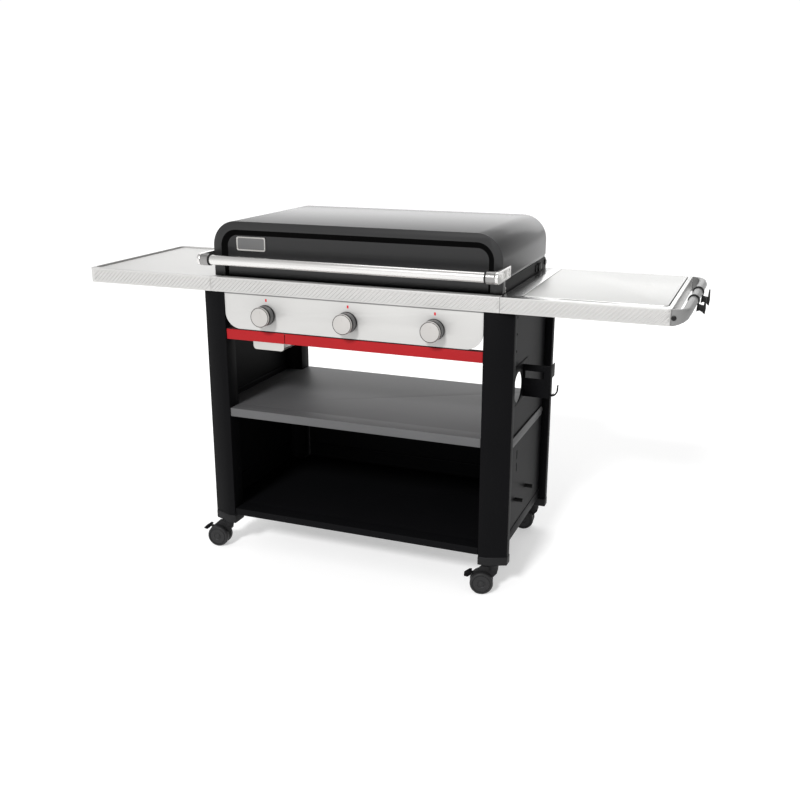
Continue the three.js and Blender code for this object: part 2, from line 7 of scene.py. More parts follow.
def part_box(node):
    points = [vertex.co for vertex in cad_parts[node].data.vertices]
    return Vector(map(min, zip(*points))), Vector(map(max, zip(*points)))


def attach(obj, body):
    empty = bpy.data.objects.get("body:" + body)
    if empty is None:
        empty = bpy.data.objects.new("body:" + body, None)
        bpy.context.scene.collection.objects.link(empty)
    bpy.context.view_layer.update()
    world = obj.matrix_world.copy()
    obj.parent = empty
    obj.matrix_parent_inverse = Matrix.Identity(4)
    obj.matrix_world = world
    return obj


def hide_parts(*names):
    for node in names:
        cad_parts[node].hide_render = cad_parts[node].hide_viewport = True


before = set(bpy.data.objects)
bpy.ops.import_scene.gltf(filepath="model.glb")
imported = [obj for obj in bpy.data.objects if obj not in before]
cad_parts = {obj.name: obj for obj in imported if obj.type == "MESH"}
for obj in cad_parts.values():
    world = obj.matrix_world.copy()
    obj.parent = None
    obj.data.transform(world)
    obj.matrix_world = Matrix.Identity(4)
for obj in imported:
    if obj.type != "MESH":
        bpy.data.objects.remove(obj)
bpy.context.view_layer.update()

# ---- Camera -------------------------------------------------------------------------------------
# A normal lens at standing eye height, in front of the cart and to its right, looking down a little
# so that the whole cart and the tops of its tables are seen.
camera_turn = math.radians(21.40)
camera_pitch = math.radians(16.845)
bpy.ops.object.camera_add(
    location=(1.1807, -2.9344, 1.4724), rotation=(math.pi / 2 - camera_pitch, 0, camera_turn)
)
camera = bpy.context.object
camera.data.lens = 44.37
camera.data.sensor_width = 36
bpy.context.scene.camera = camera

# ---- Studio -------------------------------------------------------------------------------------
# A wide pale floor under a white sky that is dimmer on the cart's right, one soft sun from the
# front that throws the faint shadow back, an overhead soft box, and a wash behind for the hood's
# sheen.
bpy.context.scene.view_settings.view_transform = "Standard"
world = bpy.data.worlds.new("studio sky")
bpy.context.scene.world = world
world.use_nodes = True
sky = world.node_tree.nodes["Background"]
sky_place = world.node_tree.nodes.new("ShaderNodeTexCoord")
sky_axes = world.node_tree.nodes.new("ShaderNodeSeparateXYZ")
sky_both = world.node_tree.nodes.new("ShaderNodeMath")
sky_both.operation = "MULTIPLY"
world.node_tree.links.new(sky_place.outputs["Generated"], sky_axes.inputs["Vector"])
for i, (axis, start, end, near, far) in enumerate((("X", 0.1, 0.6, 1.03, 0.7),
                                                   ("Z", 0.1, 0.4, 1.0, 0.55))):
    fall = world.node_tree.nodes.new("ShaderNodeMapRange")
    fall.inputs["From Min"].default_value = start
    fall.inputs["From Max"].default_value = end
    fall.inputs["To Min"].default_value = near
    fall.inputs["To Max"].default_value = far
    world.node_tree.links.new(sky_axes.outputs[axis], fall.inputs["Value"])
    world.node_tree.links.new(fall.outputs["Result"], sky_both.inputs[i])
world.node_tree.links.new(sky_both.outputs["Value"], sky.inputs["Strength"])
sky.inputs["Color"].default_value = (1, 1, 1, 1)

bpy.ops.mesh.primitive_plane_add(size=60, location=(0, 0, 0))
floor = bpy.context.object
floor.name = "studio_floor"
floor_paint = bpy.data.materials.new("studio floor")
floor_paint.use_nodes = True
floor_shader = floor_paint.node_tree.nodes["Principled BSDF"]
floor_shader.inputs["Base Color"].default_value = (0.68, 0.68, 0.68, 1)
floor_shader.inputs["Roughness"].default_value = 1.0
floor_shader.inputs["Specular IOR Level"].default_value = 0.0
floor_shader.inputs["Emission Color"].default_value = (1, 1, 1, 1)
floor_shader.inputs["Emission Strength"].default_value = 0.44
floor.data.materials.append(floor_paint)

bpy.ops.object.light_add(type="SUN", location=(-0.3, -4, 3), rotation=(0.951, 0, -0.08))
sun = bpy.context.object
sun.data.energy = 2.7
sun.data.angle = math.radians(10)
for place, turn, length, width, energy in (
        ((0.3, 0.9, 3.2), (-0.25, 0, 0), 3.0, 1.6, 20),
        ((-1.2, 4.6, 2.6), (-1.3, 0, 0.2), 6.0, 2.4, 54)):
    bpy.ops.object.light_add(type="AREA", location=place, rotation=turn)
    area = bpy.context.object
    area.data.shape = "RECTANGLE"
    area.data.size = length
    area.data.size_y = width
    area.data.energy = energy

# ---- Posts and foot caps ------------------------------------------------------------------------
# Four corner posts folded from black powder coated sheet: an inner flange, a narrow front strip, a
# shallow canted face and a side strip. Each stands in a moulded nylon cap that holds its caster.
MM = 0.001
CART_MIDDLE = 291.5  # half way between the front and the rear posts
rail_low, rail_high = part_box("front_rail_centre")
mid_x = (rail_low.x + rail_high.x) / 2
face_y = rail_low.y


def spot(x, y, z):
    """A place in metres, from millimetres off the centre line, the rail's face and the floor."""
    return Vector((mid_x + x * MM, face_y + y * MM, z * MM))


ACROSS = {
    "x": lambda u, v, w: spot(w, u, v),
    "y": lambda u, v, w: spot(u, w, v),
    "z": lambda u, v, w: spot(u, v, w),
}


def clear():
    """Leaves object mode on with nothing selected."""
    if bpy.context.mode != "OBJECT":
        bpy.ops.object.mode_set(mode="OBJECT")
    bpy.ops.object.select_all(action="DESELECT")


def take(*pieces):
    """Selects these pieces and makes the first one active."""
    clear()
    for piece in pieces:
        piece.select_set(True)
    bpy.context.view_layer.objects.active = pieces[0]


def trace(name, points):
    """A chain of edges, drawn point by point from one vertex. It is left open in edit mode."""
    clear()
    here = points[0]
    bpy.ops.mesh.primitive_plane_add(size=MM, location=here)
    piece = bpy.context.object
    piece.name = name
    bpy.ops.object.transform_apply()
    bpy.ops.object.mode_set(mode="EDIT")
    bpy.ops.mesh.merge(type="CENTER")
    for there in points[1:]:
        bpy.ops.mesh.extrude_vertices_move(TRANSFORM_OT_translate={"value": there - here})
        here = there
    bpy.ops.mesh.select_all(action="SELECT")
    return piece


def slab(name, axis, outline, low, high):
    """A plate cut to an outline that lies across an axis, from low to high along it."""
    stand = ACROSS[axis]
    piece = trace(name, [stand(u, v, low) for u, v in outline])
    bpy.ops.mesh.edge_face_add()
    bpy.ops.mesh.extrude_region_move(
        TRANSFORM_OT_translate={"value": stand(0, 0, high) - stand(0, 0, low)}
    )
    bpy.ops.mesh.select_all(action="SELECT")
    bpy.ops.mesh.normals_make_consistent(inside=False)
    bpy.ops.object.mode_set(mode="OBJECT")
    return piece


def folded(line, gauge):
    """The outline of a bent sheet: a line of folds given its thickness on the left."""
    inner = []
    for i, (u, v) in enumerate(line):
        sides = []
        for (u0, v0), (u1, v1) in zip(line[max(i - 1, 0):i + 1], line[max(i, 1):i + 2]):
            run = math.hypot(u1 - u0, v1 - v0)
            sides.append(((v0 - v1) / run, (u1 - u0) / run))
        su, sv = sum(s[0] for s in sides), sum(s[1] for s in sides)
        reach = len(sides) * gauge / (su * su + sv * sv)
        inner.append((u + su * reach, v + sv * reach))
    return list(line) + inner[::-1]


def soften(piece, width, steps=2, angle=32, smooth=38):
    """Rounds a piece's sharp edges and shades it smooth between them."""
    take(piece)
    edges = piece.modifiers.new("edges", "BEVEL")
    edges.width = width * MM
    edges.segments = steps
    edges.limit_method = "ANGLE"
    edges.angle_limit = math.radians(angle)
    edges.miter_outer = "MITER_ARC"
    bpy.ops.object.modifier_apply(modifier="edges")
    bpy.ops.object.shade_smooth_by_angle(angle=math.radians(smooth))
    return piece


def twin(piece, name, sides):
    """A copy with its own mesh, turned left for right (X), front for back (Y), or both (XY)."""
    copy = piece.copy()
    copy.data = piece.data.copy()
    copy.name = name
    bpy.context.scene.collection.objects.link(copy)
    about = spot(0, CART_MIDDLE, 0)
    flip = Matrix.Diagonal((-1 if "X" in sides else 1, -1 if "Y" in sides else 1, 1, 1))
    copy.data.transform(Matrix.Translation(about) @ flip @ Matrix.Translation(-about))
    if len(sides) == 1:
        copy.data.flip_normals()
    return copy


def settle(piece, body, coat, slot, *nodes):
    """Gives a piece its finish, fixes it to its body and hides the CAD parts it stands for."""
    piece.data.materials.clear()
    piece.data.materials.append(coat)
    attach(piece, body)
    if nodes:
        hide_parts(*nodes)


def surface(name, colour, roughness, metallic=0.0, specular=0.5, grain=900, tooth=0.1,
            mottle=0.06, stretch=(1, 1, 1), coat=0.0):
    """A finish: a colour that drifts a little, a fine grain in the bump and an uneven gloss."""
    paint = bpy.data.materials.new(name)
    paint.use_nodes = True
    nodes, links = paint.node_tree.nodes, paint.node_tree.links
    shader = nodes["Principled BSDF"]
    shader.inputs["Metallic"].default_value = metallic
    shader.inputs["Specular IOR Level"].default_value = specular
    shader.inputs["Coat Weight"].default_value = coat
    shader.inputs["Coat Roughness"].default_value = 0.12
    place = nodes.new("ShaderNodeTexCoord")
    lay = nodes.new("ShaderNodeMapping")
    lay.inputs["Scale"].default_value = stretch
    links.new(place.outputs["Object"], lay.inputs["Vector"])
    fine = nodes.new("ShaderNodeTexNoise")
    fine.inputs["Scale"].default_value = grain
    fine.inputs["Detail"].default_value = 3
    links.new(lay.outputs["Vector"], fine.inputs["Vector"])
    broad = nodes.new("ShaderNodeTexNoise")
    broad.inputs["Scale"].default_value = 5
    broad.inputs["Detail"].default_value = 4
    links.new(place.outputs["Object"], broad.inputs["Vector"])
    tint = nodes.new("ShaderNodeValToRGB")
    low, high = tint.color_ramp.elements
    low.position, high.position = 0.3, 0.7
    low.color = [c * (1 - mottle) for c in colour] + [1]
    high.color = [min(1, c * (1 + mottle)) for c in colour] + [1]
    links.new(broad.outputs["Fac"], tint.inputs["Fac"])
    links.new(tint.outputs["Color"], shader.inputs["Base Color"])
    spread = 0.06
    gloss = nodes.new("ShaderNodeMapRange")
    gloss.inputs["To Min"].default_value = max(0.03, roughness - spread)
    gloss.inputs["To Max"].default_value = min(1, roughness + spread)
    links.new(fine.outputs["Fac"], gloss.inputs["Value"])
    links.new(gloss.outputs["Result"], shader.inputs["Roughness"])
    bump = nodes.new("ShaderNodeBump")
    bump.inputs["Strength"].default_value = tooth
    bump.inputs["Distance"].default_value = 0.0002
    links.new(fine.outputs["Fac"], bump.inputs["Height"])
    links.new(bump.outputs["Normal"], shader.inputs["Normal"])
    return paint


black_coat = surface("black powder coat", (0.004, 0.004, 0.0045), 0.5, specular=0.035, tooth=0.25)
nylon = surface("dark grey nylon", (0.009, 0.009, 0.0095), 0.55, specular=0.15, grain=500,
                tooth=0.3)

post_line = [(429, 57), (429, 1), (454, 1), (515, 26.4), (515, 54), (491, 54)]
post = soften(slab("corner_post_front_right", "z", folded(post_line, 2), 126.6, 893.5), 1.0)
post_foot = soften(slab("post_foot_front_right", "z", [
    (428, 58), (428, 0.2), (454, 0.2), (516, 25.4), (516, 58)], 98.5, 126.3), 2.5, 3)
settle(post, "cart", black_coat, "black_paint", "post_front_right")
settle(post_foot, "cart", nylon, "grey_plastic", "foot_cap_front_right")
for corner, sides in {"front_left": "X", "rear_right": "Y", "rear_left": "XY"}.items():
    settle(twin(post, "corner_post_" + corner, sides), "cart", black_coat, "black_paint",
           "post_" + corner)
    settle(twin(post_foot, "post_foot_" + corner, sides), "cart", nylon, "grey_plastic",
           "foot_cap_" + corner)

# ---- Side panels --------------------------------------------------------------------------------
# Powder coated sheet screwed to the posts: a pressed bead with pointed ends under the shelf, its
# outer face coated lighter as a painted highlight, two shallow inward ledges and a folded hem. The
# right one also has the hose hole, two slots and a row of screws.
HOSE_Y, HOSE_Z = 182, 629


def drum(name, axis, u, v, radius, low, high, sides=40):
    """A round bar along an axis, centred at (u, v), that runs from low to high."""
    turn = {"x": (0, math.pi / 2, 0), "y": (math.pi / 2, 0, 0), "z": (0, 0, 0)}[axis]
    clear()
    bpy.ops.mesh.primitive_cylinder_add(
        vertices=sides, radius=radius * MM, depth=abs(high - low) * MM,
        location=ACROSS[axis](u, v, (low + high) / 2), rotation=turn)
    piece = bpy.context.object
    piece.name = name
    bpy.ops.object.transform_apply()
    return piece


def cut(piece, *tools):
    """Takes each tool's shape out of a piece and throws the tool away."""
    for tool in tools:
        take(piece)
        hole = piece.modifiers.new("hole", "BOOLEAN")
        hole.object = tool
        hole.solver = "EXACT"
        bpy.ops.object.modifier_apply(modifier="hole")
        bpy.data.objects.remove(tool)
    return piece


def weld(name, *parts):
    """Joins parts into one piece."""
    take(*parts)
    bpy.ops.object.join()
    parts[0].name = name
    return parts[0]


def screw_head(name, axis, u, v, radius, low, high):
    """A pan head with a round edge and a six-sided socket, standing from low to high."""
    head = soften(drum(name, axis, u, v, radius, low, high, 24), radius * 0.22, 2)
    out = 1 if high > low else -1
    return cut(head, drum("socket", axis, u, v, radius * 0.42, high - out * 1.2, high + out, 6))


def recoat(piece, coat, wanted):
    """Gives a settled piece another coat on the faces that pass a test."""
    piece.data.materials.append(coat)
    layer = len(piece.data.materials) - 1
    for face in piece.data.polygons:
        if wanted(face):
            face.material_index = layer


panel_coat = surface("side panel powder coat", (0.0045, 0.0045, 0.005), 0.5, specular=0.05,
                     tooth=0.25)
panel = slab("side_sheet", "x", [(55, 130), (528, 130), (528, 893), (55, 893)], 488, 490)
bead = slab("bead", "x", [
    (60, 461.5), (76, 478), (504, 478), (520, 461.5), (504, 445), (76, 445)], 489, 495)
soften(bead, 4.5, 3)
ledges = []
for low, high in ((517, 531), (206, 220)):
    ledge = slab("ledge", "x", [(62, low), (62, high), (520, high), (520, low)], 489, 483)
    ledges.append(soften(ledge, 3.5, 2))
hem = soften(slab("hem", "x", [(55, 130), (528, 130), (528, 163), (55, 163)], 489, 492), 1.2)
right_panel = weld("right_side_sheet", panel, bead, *ledges, hem)
left_panel = twin(right_panel, "left_side_sheet", "X")
cut(right_panel, drum("hose", "x", HOSE_Y, HOSE_Z, 50, 470, 500, 64),
    slab("slot", "x", [(199.5, 385), (207, 385), (207, 415), (199.5, 415)], 470, 500),
    slab("slot", "x", [(199.5, 343), (207, 343), (207, 372), (199.5, 372)], 470, 500))
# The bead's outer face is coated lighter than the sheet: a painted highlight for the light it
# catches.
bead_painted_highlight = surface("bead painted highlight", (0.03, 0.03, 0.031), 0.45, specular=0.3, tooth=0.25)
for sheet, side, name in ((left_panel, -1, "left"), (right_panel, 1, "right")):
    settle(sheet, "cart", panel_coat, "black_paint", "side_panel_" + name)
    proud = spot(side * 491, 0, 0).x
    recoat(sheet, bead_painted_highlight, lambda face: face.normal.x * side > 0.7
           and 446 < face.center.z / MM < 476.5 and (face.center.x - proud) * side > 0)
fastener = surface("black oxide fastener", (0.012, 0.012, 0.012), 0.35, metallic=0.6)
for i, z in enumerate((855, 802, 749), 1):
    screw = screw_head(f"panel_screw_{i}", "x", 149, z, 5, 489.8, 492.6)
    settle(screw, "cart", black_coat, "black_paint")

# ---- Back panel, middle shelf and floor tray ----------------------------------------------------
# Folded sheet trays notched round the posts with their edges turned down, the shelf in a fine
# textured grey coat, and a plain sheet with two stiffening beads that closes the lower bay.
shelf_coat = surface("textured grey powder coat", (0.08, 0.08, 0.082), 0.5, specular=0.35,
                     grain=1400, tooth=0.35)


def tray_outline(front, back, lip):
    """The plan of a tray between the posts, drawn in by the given lip."""
    narrow, wide = 427.6 - lip, 487 - lip
    near, far = 58.6 + lip, 524.4 - lip
    return [(-narrow, front + lip), (narrow, front + lip), (narrow, near), (wide, near),
            (wide, far), (narrow, far), (narrow, back - lip), (-narrow, back - lip),
            (-narrow, far), (-wide, far), (-wide, near), (-narrow, near)]


for name, node, low, high, back, coat, slot in (
        ("shelf_tray", "middle_shelf", 481, 509, 580, shelf_coat, "dark_shelf"),
        ("lower_tray", "floor_tray", 130, 153, 568, black_coat, "black_paint")):
    sheet_tray = slab(name, "z", tray_outline(4, back, 0), low, high)
    cut(sheet_tray, slab("under", "z", tray_outline(4, back, 2), low - 1, high - 2))
    settle(soften(sheet_tray, 1.4, 3), "cart", coat, slot, node)
back_sheet = slab("back_sheet", "y", [
    (-428.6, 132), (428.6, 132), (428.6, 478.5), (-428.6, 478.5)], 572, 574)
back_beads = []
for low, high in ((196, 208), (400, 412)):
    rib = slab("rib", "y", [(-410, low), (410, low), (410, high), (-410, high)], 573, 567)
    back_beads.append(soften(rib, 3.5, 2))
weld("back_sheet", back_sheet, *back_beads)
settle(back_sheet, "cart", black_coat, "black_paint", "back_panel")

# ---- Cookbox, burners, gas manifold and griddle plate -------------------------------------------
# A welded and coated steel tub, with a round boss and bolts on its cheeks, three stainless tube
# burners on a brass manifold, and the thick carbon steel plate that lifts off, dark from its oil.
tub_coat = surface("high heat black coat", (0.008, 0.008, 0.008), 0.6, specular=0.25, tooth=0.3)
brushed_steel = surface("brushed stainless", (0.56, 0.55, 0.53), 0.3, metallic=1.0, grain=700,
                        tooth=0.12, mottle=0.04, stretch=(0.03, 1, 1))
plate_iron = surface("oiled carbon steel", (0.03, 0.025, 0.022), 0.38, metallic=0.7, grain=260,
                     tooth=0.25, mottle=0.35)
brass = surface("machined brass", (0.5, 0.34, 0.12), 0.32, metallic=1.0, grain=800)


def bend(u, v, radius, start, end, steps=10):
    """Points round an arc, in degrees."""
    return [(u + radius * math.cos(math.radians(start + (end - start) * i / steps)),
             v + radius * math.sin(math.radians(start + (end - start) * i / steps)))
            for i in range(steps + 1)]


def dress(coat, *nodes):
    """Gives CAD parts that are shown as they are their finish."""
    for node in nodes:
        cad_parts[node].material_slots[0].material = coat


dress(tub_coat, "cookbox", "drawer_cradle")
dress(brushed_steel, "burner_1", "burner_2", "burner_3")
dress(brass, "gas_manifold", "valve_stem_1", "valve_stem_2", "valve_stem_3")
dress(plate_iron, "griddle_plate")
dress(fastener, "hinge_pin_left", "hinge_pin_right")
for side, name in ((1, "right"), (-1, "left")):
    boss = screw_head("cookbox_boss_" + name, "x", 467, 957, 13, side * 470, side * 478)
    settle(boss, "cart", tub_coat, "black_paint")
    for i, y in enumerate((438, 499), 1):
        latch = slab(f"cheek_bolt_{name}_{i}", "x", bend(y, 951, 6.5, 120, 420, 16) + [
            (y + 3, 968), (y - 3, 968)], side * 470.6, side * 474.5)
        settle(soften(latch, 0.8), "cart", fastener, "black_paint")
    for i, z in enumerate((945, 955), 1):
        stud = screw_head(f"corner_stud_{name}_{i}", "x", 66, z, 4, side * 470.6, side * 474)
        settle(stud, "cart", brushed_steel, "stainless")

# ---- Front rail and side tables -----------------------------------------------------------------
# Light metallic painted steel pressings. All three carry the same band of raised slanted ribs on
# the front, and the right table has a shallow opening with a finger dip for the lift-off board.
TABLE_DEPTH = 560
silver_coat = surface("light metallic paint", (0.49, 0.485, 0.475), 0.42, metallic=0.25,
                      grain=2200, tooth=0.12, mottle=0.02)


def table_plan(x0, x1, y0, y1, left, right):
    """A table's outline with the radius of its left and of its right corners."""
    near_left = bend(x0 + left, y0 + left, left, 180, 270) if left else [(x0, y0)]
    near_right = bend(x1 - right, y0 + right, right, 270, 360) if right else [(x1, y0)]
    far_right = bend(x1 - right, y1 - right, right, 0, 90) if right else [(x1, y1)]
    far_left = bend(x0 + left, y1 - left, left, 90, 180) if left else [(x0, y1)]
    return near_left + near_right + far_right + far_left


def rib_band(x0, x1):
    """Slanted ribs pressed out of a rail's front, cut off square at both ends."""
    pitch, lean = 14.4, 40
    ribs = slab("ribs", "y", [
        (x0 - lean, 900), (x0 - lean + 7.4, 900), (x0 + 7.4, 937), (x0, 937)], 0.6, -1.5)
    soften(ribs, 0.9, 1)
    row = ribs.modifiers.new("row", "ARRAY")
    row.count = int((x1 - x0 + lean) / pitch)
    row.use_relative_offset = False
    row.use_constant_offset = True
    row.constant_offset_displace = (pitch * MM, 0, 0)
    bpy.ops.object.modifier_apply(modifier="row")
    bpy.ops.object.mode_set(mode="EDIT")
    for x, out in ((x0, -1), (x1, 1)):
        bpy.ops.mesh.select_all(action="SELECT")
        bpy.ops.mesh.bisect(plane_co=spot(x, 0, 0), plane_no=(out, 0, 0), use_fill=True,
                            clear_outer=True)
    bpy.ops.object.mode_set(mode="OBJECT")
    return ribs


rail = slab("front_rail_sheet", "x", folded([(29, 941.5), (0, 941.5), (0, 895), (14, 895)], 2),
            -474.7, 474.7)
weld("front_rail_sheet", soften(rail, 1.2, 3), rib_band(-472, 472))
settle(rail, "cart", silver_coat, "silver_paint", "front_rail_centre")
side_rail_paint_and_lip_shade = surface("grey rail paint and lip painted shade", (0.2, 0.2, 0.198), 0.4, metallic=0.35, grain=2200,
                    tooth=0.12, mottle=0.03)
# The lip takes the side rail's darker grey as painted shade in the gap above the control panel.
rail_lip = slab("rail_lip", "y", [
    (-428, 891.3), (428, 891.3), (428, 894.7), (-428, 894.7)], 2.4, 13)
settle(soften(rail_lip, 0.5, 1), "cart", side_rail_paint_and_lip_shade, "silver_paint")

left_table = slab("left_table_top", "z", table_plan(-945, -475.5, 0, TABLE_DEPTH, 22, 0),
                  895, 941.5)
cut(left_table, slab("recess", "z", table_plan(-942, -477.7, 26, 557, 19, 0), 936.5, 950),
    slab("under", "z", table_plan(-942, -478.7, 3, 557, 19, 0), 890, 933.5))
edge_groove = slab("groove", "z", table_plan(-942, -477.7, 26, 557, 19, 0), 935, 950)
cut(edge_groove, slab("field", "z", table_plan(-935, -470, 20, 550, 13, 0), 930, 960))
cut(left_table, edge_groove)
weld("left_table_top", soften(left_table, 1.2, 3), rib_band(-922, -478))
settle(left_table, "cart", silver_coat, "silver_paint", "table_left")
painted_gap_shade = surface("painted gap shade", (0.01, 0.01, 0.01), 0.7, specular=0.1)
# The floor of the groove round the recess is painted near black: painted shade in the groove.
recoat(left_table, painted_gap_shade,
       lambda face: face.normal.z > 0.9 and 934.5 < face.center.z / MM < 935.5)

right_table = slab("right_table_top", "z", table_plan(475.5, 950, 0, TABLE_DEPTH, 0, 8), 895, 941.5)
cut(right_table, slab("recess", "z", table_plan(530.5, 938.5, 38.5, 552.5, 7.5, 15.5), 935.5, 950),
    slab("dip", "z", [(640, 30), (806, 30), (790, 41), (656, 41)], 935.5, 950),
    slab("under", "z", table_plan(478.7, 947, 3, 557, 0, 6), 890, 932.5))
weld("right_table_top", soften(right_table, 1.2, 3), rib_band(478, 945))
settle(right_table, "cart", silver_coat, "silver_paint", "table_right")
strip_steel = surface("brushed table strip", (0.52, 0.52, 0.515), 0.24, metallic=1.0, grain=900,
                      tooth=0.12, mottle=0.03, stretch=(1, 0.03, 1))
behind_edge = spot(0, 6, 0).y
recoat(right_table, strip_steel, lambda face: face.normal.z > 0.9
       and face.center.z / MM > 941.4 and face.center.y > behind_edge)
# The recess floor round the board is painted near black: painted shade in the gap round the board.
recoat(right_table, painted_gap_shade,
       lambda face: face.normal.z > 0.9 and 935 < face.center.z / MM < 936)

# ---- Lift-off board -----------------------------------------------------------------------------
# A flat stainless board, brushed from front to back, with small rounded edges and two little
# notches on its back edge. It drops into the right table and lifts out by the finger dip.
board_steel = surface("board stainless", (0.5, 0.5, 0.49), 0.36, metallic=0.7, grain=900, tooth=0.1,
                      mottle=0.03, stretch=(1, 0.03, 1))
board = slab("lift_off_board", "z", table_plan(533.5, 935.5, 41.2, 549.8, 5, 13), 935.8, 942.5)
for x in (675, 799):
    cut(board, slab("notch", "z", [
        (x - 6, 546), (x + 6, 546), (x + 6, 560), (x - 6, 560)], 930, 950))
settle(soften(board, 1.3, 3), "board", board_steel, "stainless", "prep_board")

# ---- Side rail and hooks ------------------------------------------------------------------------
# A painted rail bolted to the right table: flat tapering arms at the corners that turn into one
# round tube. Two dark rubber strap hooks snap over the tube and slide along it.


def loft(name, rings):
    """A closed skin over a row of rings that all have the same number of points."""
    hoops = []
    for ring in rings:
        hoop = trace(name, ring)
        bpy.ops.mesh.edge_face_add()
        bpy.ops.mesh.delete(type="ONLY_FACE")
        bpy.ops.object.mode_set(mode="OBJECT")
        hoops.append(hoop)
    skin = weld(name, *hoops)
    bpy.ops.object.mode_set(mode="EDIT")
    bpy.ops.mesh.select_all(action="SELECT")
    bpy.ops.mesh.bridge_edge_loops()
    bpy.ops.mesh.fill_holes(sides=0)
    bpy.ops.mesh.select_all(action="SELECT")
    bpy.ops.mesh.normals_make_consistent(inside=False)
    bpy.ops.object.mode_set(mode="OBJECT")
    return skin


def rail_ring(x, y, heading, half_high, half_wide):
    """One section of the rail: a flat bar at the table that grows round towards the tube."""
    t = math.radians(heading)
    square = 1 - min(1, (23 - half_high) / 9.5)
    ring = []
    for i in range(24):
        c, s = math.cos(i * math.pi / 12), math.sin(i * math.pi / 12)
        grow = 1 + square * (1 / max(abs(c), abs(s)) - 1)
        across = c * grow * half_wide
        ring.append(spot(x + across * math.sin(t), y - across * math.cos(t),
                         941.3 - half_high + s * grow * half_high))
    return ring


arm = [(950.3, 5, 0, 23, 4), (958, 5.6, 8, 22.5, 4.6), (968, 9, 28, 21, 6), (977, 18, 50, 19, 8.5),
       (983, 34, 70, 16.5, 11.5), (986, 60, 88, 13.8, 13.2), (986, 96, 90, 13.5, 13.5)]
rail_tube = loft("side_rail_tube", [rail_ring(*part) for part in arm] + [
    rail_ring(x, TABLE_DEPTH - y, 180 - heading, high, wide)
    for x, y, heading, high, wide in reversed(arm)])
take(rail_tube)
bpy.ops.object.shade_smooth_by_angle(angle=math.radians(40))
settle(rail_tube, "cart", side_rail_paint_and_lip_shade, "silver_paint", "side_rail")
for name, low, high in (("front", 3, -2.2), ("back", TABLE_DEPTH - 3, TABLE_DEPTH + 2.2)):
    rail_bolt = screw_head("rail_bolt_" + name, "y", 957, 918, 7, low, high)
    settle(rail_bolt, "cart", fastener, "black_paint")
rubber = surface("black rubber", (0.008, 0.008, 0.008), 0.6, specular=0.15, grain=700, tooth=0.3)
strap = bend(986, 928, 17, -50, 200, 28) + bend(986, 928, 13.9, 200, -50, 28)
lug = [(997.5, 920), (996, 911), (995, 896), (1003, 900), (1012, 896), (1019, 889), (1021, 905),
       (1020, 938), (1016.5, 938), (1014.5, 915), (1004, 917)]
for i, y in enumerate((226, 362), 1):
    hook = weld(f"strap_hook_{i}", soften(slab("strap", "y", strap, y - 6, y + 6), 0.9),
                soften(slab("lug", "y", lug, y - 5, y + 5), 1.2))
    boss = screw_head("screw", "x", y, 905, 6.5, 999, 1003)
    weld(f"strap_hook_{i}", hook, boss)
    settle(hook, f"tool_hook_{i}", rubber, "black_rubber", f"hook_{i}")

# ---- Control panel and knobs --------------------------------------------------------------------
# A painted panel with large round lower corners, hung under the rail. The knobs are painted metal
# shells: a skirt, a groove and a ring at the panel painted black as painted shade, and a broad
# front disc with a fine ring and a raised pointer.
KNOB_X = (-280, 0, 280)
KNOB_Z = 831.5
panel_line = [(428, 891), (-428, 891)] + bend(-376, 831, 52, 180, 270, 16) + bend(
    376, 831, 52, 270, 360, 16)
control_face = slab("control_face", "y", panel_line, 4, 7)
cut(control_face, *[drum("hole", "y", x, KNOB_Z, 9, 0, 10) for x in KNOB_X])
top_flange = slab("flange", "y", [(-428, 889), (428, 889), (428, 891), (-428, 891)], 6, 58)
weld("control_face", soften(control_face, 1.2, 3), top_flange)
settle(control_face, "cart", silver_coat, "silver_paint", "control_panel")
red_coat = surface("red powder coat", (0.31, 0.009, 0.012), 0.45, specular=0.15, tooth=0.15)
black_rings_and_painted_shade = surface("black rings and painted shade", (0.01, 0.01, 0.01), 0.6, specular=0.2)
mark_red = surface("red mark paint", (0.55, 0.012, 0.02), 0.5, specular=0.1, tooth=0.05)
knob_satin = surface("satin knob metal", (0.46, 0.445, 0.43), 0.36, metallic=0.4, grain=1500,
                     tooth=0.1)
skirt_metal = surface("dark knob skirt", (0.13, 0.13, 0.13), 0.42, metallic=0.5, grain=420,
                      tooth=0.5)


def turned(name, axis, u, v, profile, steps=64):
    """A lathe-turned piece about an axis through (u, v). The profile is (radius, place along)."""
    stand = ACROSS[axis]
    piece = trace(name, [stand(u + radius, v, along) for radius, along in profile])
    line = {"x": (1, 0, 0), "y": (0, 1, 0), "z": (0, 0, 1)}[axis]
    bpy.ops.mesh.spin(steps=steps, angle=2 * math.pi, center=stand(u, v, 0), axis=line)
    bpy.ops.mesh.select_all(action="SELECT")
    bpy.ops.mesh.remove_doubles(threshold=0.00001)
    bpy.ops.mesh.normals_make_consistent(inside=False)
    bpy.ops.object.mode_set(mode="OBJECT")
    bpy.ops.object.shade_smooth_by_angle(angle=math.radians(38))
    return piece


